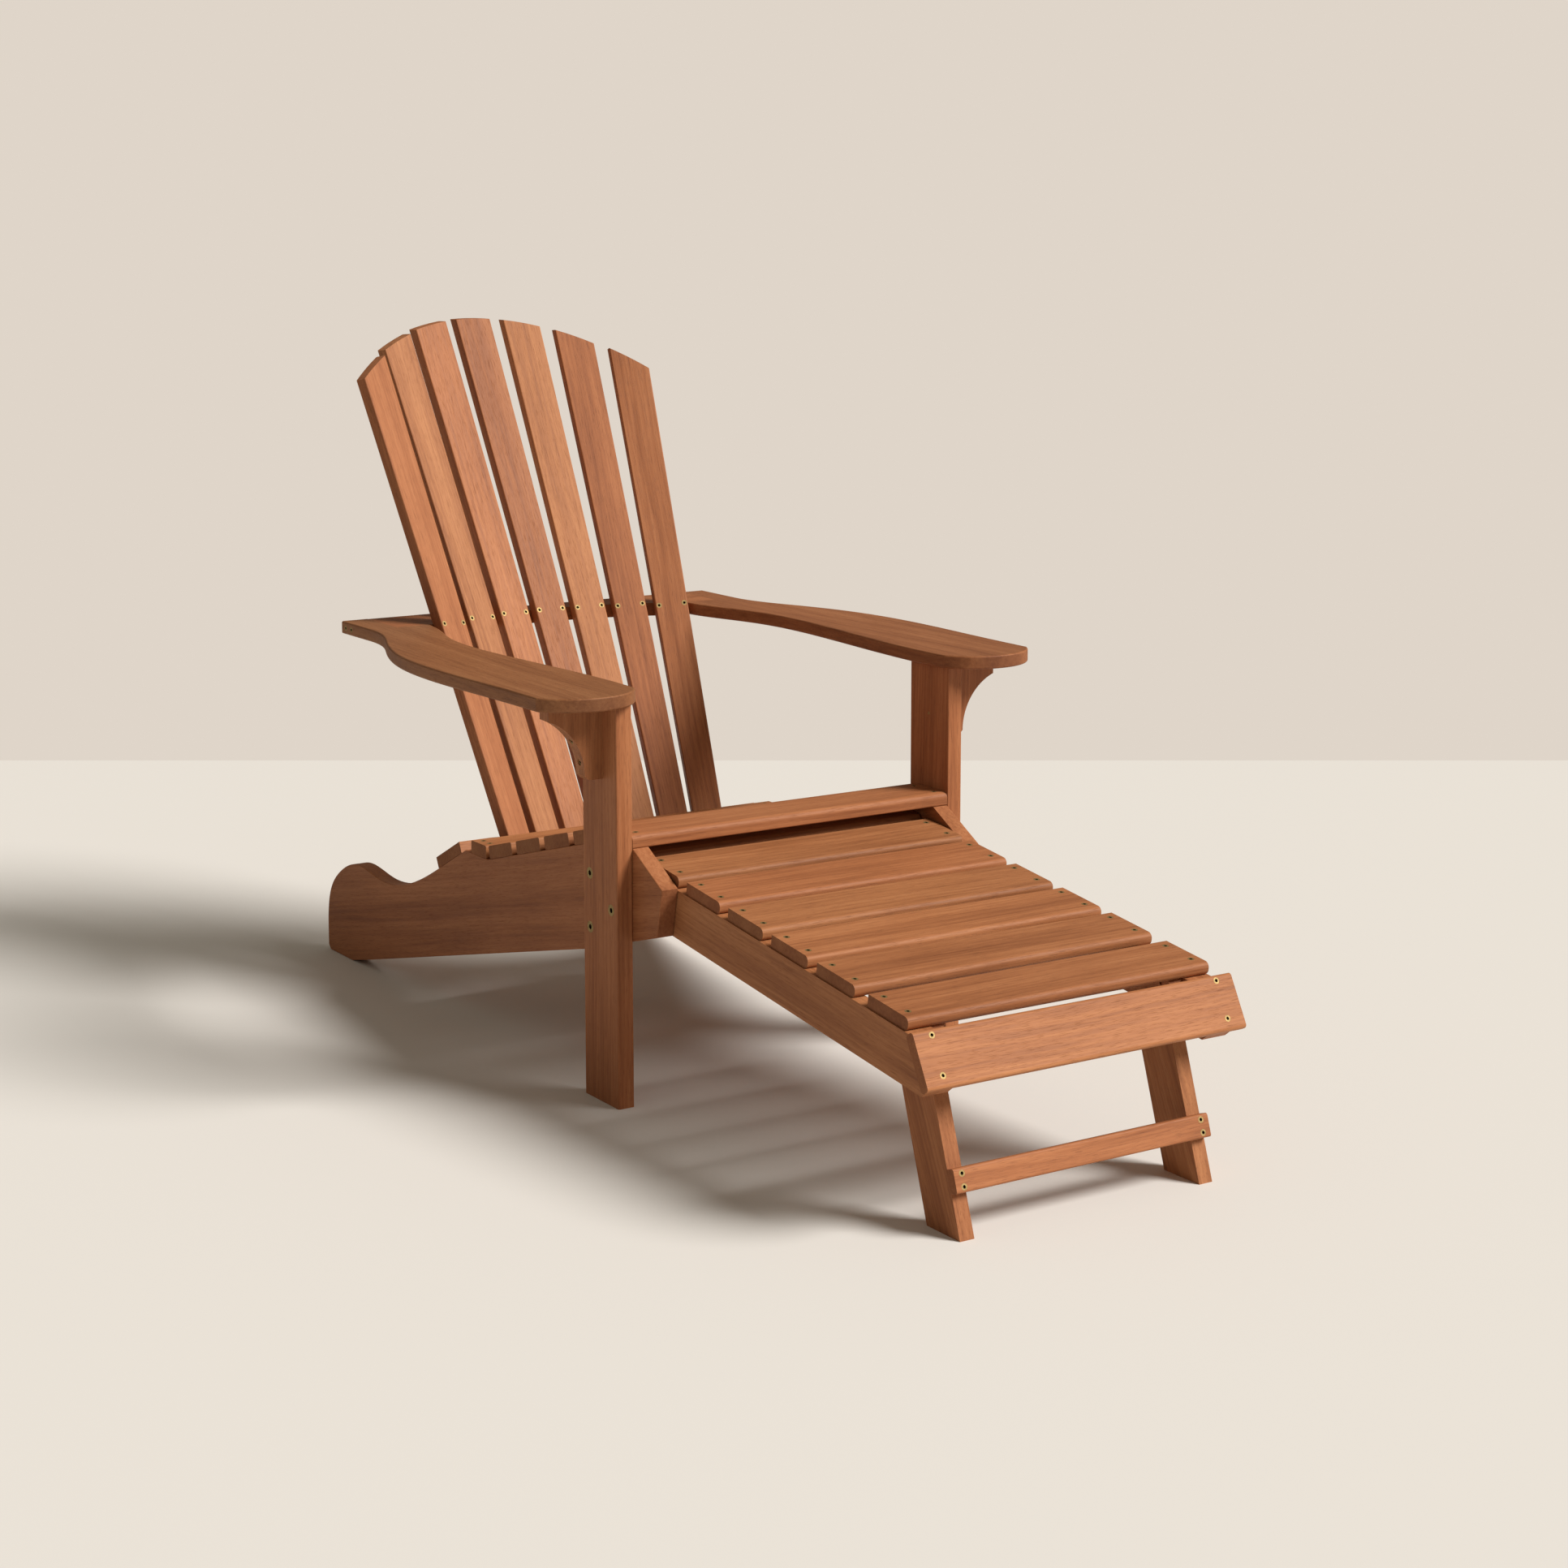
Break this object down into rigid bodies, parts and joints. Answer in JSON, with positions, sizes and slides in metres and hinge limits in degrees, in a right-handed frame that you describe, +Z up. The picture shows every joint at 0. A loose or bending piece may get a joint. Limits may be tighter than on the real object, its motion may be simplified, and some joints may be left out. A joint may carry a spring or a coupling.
{
  "type": "adirondack chair",
  "caption": "Slatted wooden lounge chair with a fanned, arched back, broad arms and a footrest that slides in under the seat on folding legs.",
  "frame": {"origin": "on the floor, under the middle of the chair's width and of its whole length with the footrest out", "axes": "+Z up, +Y towards the back of the chair, +X across it to the sitter's left as they face -Y"},
  "size_m": [0.7716, 1.5618, 0.965],
  "materials": {
    "timber": "oiled hardwood, satin",
    "brass": "satin, lightly aged",
    "steel": "zinc plated"
  },
  "bodies": {
    "chair": {"arm_dowels": "timber", "arm_left": "timber", "arm_neck_screws": "brass", "arm_right": "timber", "back_slat_1": "timber", "back_slat_2": "timber", "back_slat_3": "timber", "back_slat_4": "timber", "back_slat_5": "timber", "back_slat_6": "timber", "back_slat_7": "timber", "back_slat_screws": "brass", "corbel_left": "timber", "corbel_right": "timber", "corbel_screws": "brass", "front_post_left": "timber", "front_post_right": "timber", "lower_back_brace": "timber", "lower_brace_screws": "brass", "post_bolts": "brass", "seat_screws": "brass", "seat_slat_1": "timber", "seat_slat_2": "timber", "seat_slat_3": "timber", "seat_slat_4": "timber", "seat_slat_front": "timber", "seat_slat_rear": "timber", "side_rail_left": "timber", "side_rail_right": "timber", "threaded_inserts": "steel", "upper_back_brace": "timber"},
    "glide": {"footrest_rear_rod": "timber"},
    "footrest": {"footrest_apron": "timber", "footrest_apron_screws": "brass", "footrest_rail_left": "timber", "footrest_rail_right": "timber", "footrest_rear_batten": "timber", "footrest_slat_1": "timber", "footrest_slat_2": "timber", "footrest_slat_3": "timber", "footrest_slat_4": "timber", "footrest_slat_5": "timber", "footrest_slat_6": "timber", "footrest_slat_screws": "brass", "leg_block_left": "timber", "leg_block_right": "timber", "leg_block_screws": "brass", "leg_pivot_bolts": "steel", "leg_stop_cleats": "timber"},
    "leg_frame": {"footrest_leg_left": "timber", "footrest_leg_right": "timber", "leg_screws": "brass", "leg_stretcher": "timber"}
  },
  "joints": [
    {"name": "footrest_slide", "type": "slide", "parent": "chair", "child": "glide", "axis": [0, 0.9655, -0.2605], "range_m": [0, 0.53278]},
    {"name": "footrest_tilt", "type": "hinge", "parent": "glide", "child": "footrest", "pos_m": [0, -0.12845, 0.283], "axis": [-1, 0, 0], "range_deg": [0, 22.21]},
    {"name": "leg_fold", "type": "hinge", "parent": "footrest", "child": "leg_frame", "pos_m": [0, -0.68006, 0.20522], "axis": [1, 0, 0], "range_deg": [0, 115]}
  ],
  "couplings": [
    {"joint": "footrest_tilt", "follows": "footrest_slide", "rad_per_m": 0.72725}
  ]
}
